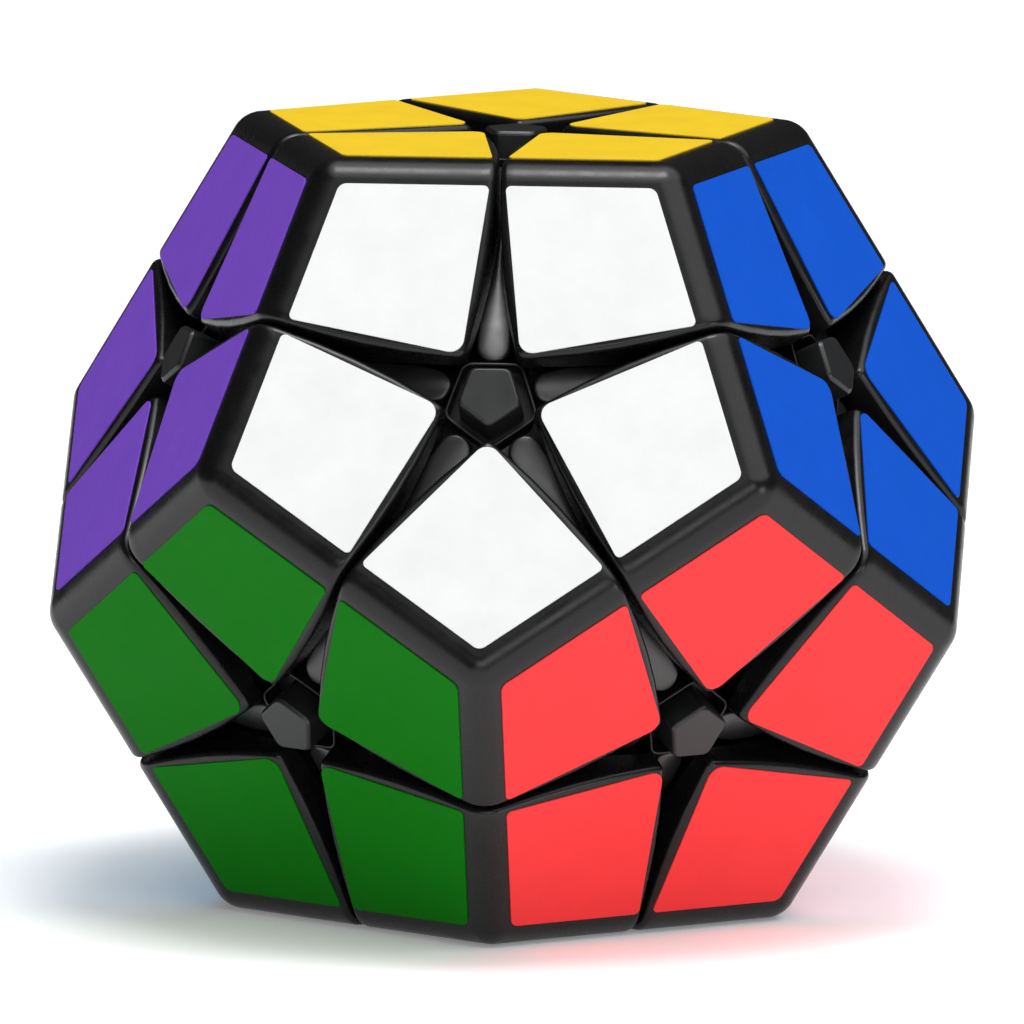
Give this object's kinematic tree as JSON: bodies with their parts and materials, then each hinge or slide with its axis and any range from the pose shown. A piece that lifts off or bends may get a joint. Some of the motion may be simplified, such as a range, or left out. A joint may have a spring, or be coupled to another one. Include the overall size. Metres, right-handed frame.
{
  "type": "dodecahedron twisty puzzle",
  "caption": "Corner-turning twelve-sided mechanical puzzle: stickered kite corners with star gaps over recessed hubs and hidden edges, on a screwed and sprung core.",
  "frame": {"origin": "centre of the core's ball, where the axes of all faces meet", "axes": "+Z out of the top (yellow) face and -Z out of the bottom (cream) face it rests on; -Y towards the white face and +Y towards the gray one; +X between the blue and pink faces"},
  "size_m": [0.0836, 0.0878, 0.0722],
  "materials": {
    "corner_plastic": "moulded ABS, satin with polished edges",
    "foot_plastic": "moulded ABS, satin",
    "edge_plastic": "moulded ABS, satin",
    "hub_plastic": "moulded ABS, satin",
    "cap_plastic": "moulded ABS, fine satin",
    "core_plastic": "moulded nylon, matt",
    "screw_steel": "zinc plated",
    "spring_steel": "drawn wire",
    "washer_steel": "tumbled",
    "yellow_vinyl": "semi-gloss vinyl film",
    "white_vinyl": "semi-gloss vinyl film",
    "blue_vinyl": "semi-gloss vinyl film",
    "lime_vinyl": "semi-gloss vinyl film",
    "orange_vinyl": "semi-gloss vinyl film",
    "purple_vinyl": "semi-gloss vinyl film",
    "red_vinyl": "semi-gloss vinyl film",
    "pink_vinyl": "semi-gloss vinyl film",
    "gray_vinyl": "semi-gloss vinyl film",
    "lightblue_vinyl": "semi-gloss vinyl film",
    "green_vinyl": "semi-gloss vinyl film",
    "cream_vinyl": "semi-gloss vinyl film"
  },
  "bodies": {
    "core_frame": {"core": "core_plastic", "screws": "screw_steel", "springs": "spring_steel", "washers": "washer_steel", "frame_hubs": "hub_plastic", "frame_caps": "cap_plastic", "frame_edges": "edge_plastic", "frame_corners": "corner_plastic", "frame_corner_feet": "foot_plastic", "frame_white_sticker": "white_vinyl", "frame_blue_sticker": "blue_vinyl", "frame_lime_stickers": "lime_vinyl", "frame_orange_sticker": "orange_vinyl", "frame_purple_sticker": "purple_vinyl", "frame_pink_stickers": "pink_vinyl", "frame_gray_stickers": "gray_vinyl", "frame_green_sticker": "green_vinyl", "frame_cream_sticker": "cream_vinyl"},
    "top_layer": {"top_hub": "hub_plastic", "top_cap": "cap_plastic", "top_edges": "edge_plastic", "top_corner_1": "corner_plastic", "top_corner_2": "corner_plastic", "top_corner_3": "corner_plastic", "top_corner_4": "corner_plastic", "top_corner_5": "corner_plastic", "top_corner_feet": "foot_plastic", "top_yellow_stickers": "yellow_vinyl", "top_white_stickers": "white_vinyl", "top_blue_stickers": "blue_vinyl", "top_lime_stickers": "lime_vinyl", "top_orange_stickers": "orange_vinyl", "top_purple_stickers": "purple_vinyl"},
    "red_layer": {"red_hub": "hub_plastic", "red_cap": "cap_plastic", "red_edges": "edge_plastic", "red_corner_1": "corner_plastic", "red_corner_2": "corner_plastic", "red_corner_3": "corner_plastic", "red_corner_4": "corner_plastic", "red_corner_5": "corner_plastic", "red_corner_feet": "foot_plastic", "red_red_stickers": "red_vinyl", "red_white_stickers": "white_vinyl", "red_blue_stickers": "blue_vinyl", "red_pink_stickers": "pink_vinyl", "red_green_stickers": "green_vinyl", "red_cream_stickers": "cream_vinyl"},
    "lightblue_layer": {"lightblue_hub": "hub_plastic", "lightblue_cap": "cap_plastic", "lightblue_edges": "edge_plastic", "lightblue_corners": "corner_plastic", "lightblue_corner_feet": "foot_plastic", "lightblue_lightblue_stickers": "lightblue_vinyl", "lightblue_orange_stickers": "orange_vinyl", "lightblue_purple_stickers": "purple_vinyl", "lightblue_gray_stickers": "gray_vinyl", "lightblue_green_stickers": "green_vinyl", "lightblue_cream_stickers": "cream_vinyl"}
  },
  "joints": [
    {"name": "top_turn", "type": "hinge", "parent": "core_frame", "child": "top_layer", "pos_m": [0, 0, 0], "axis": [0, 0, 1], "continuous": true},
    {"name": "red_turn", "type": "hinge", "parent": "core_frame", "child": "red_layer", "pos_m": [0, 0, 0], "axis": [0.5257, -0.7236, -0.4472], "continuous": true},
    {"name": "lightblue_turn", "type": "hinge", "parent": "core_frame", "child": "lightblue_layer", "pos_m": [0, 0, 0], "axis": [-0.8507, 0.2764, -0.4472], "continuous": true}
  ]
}
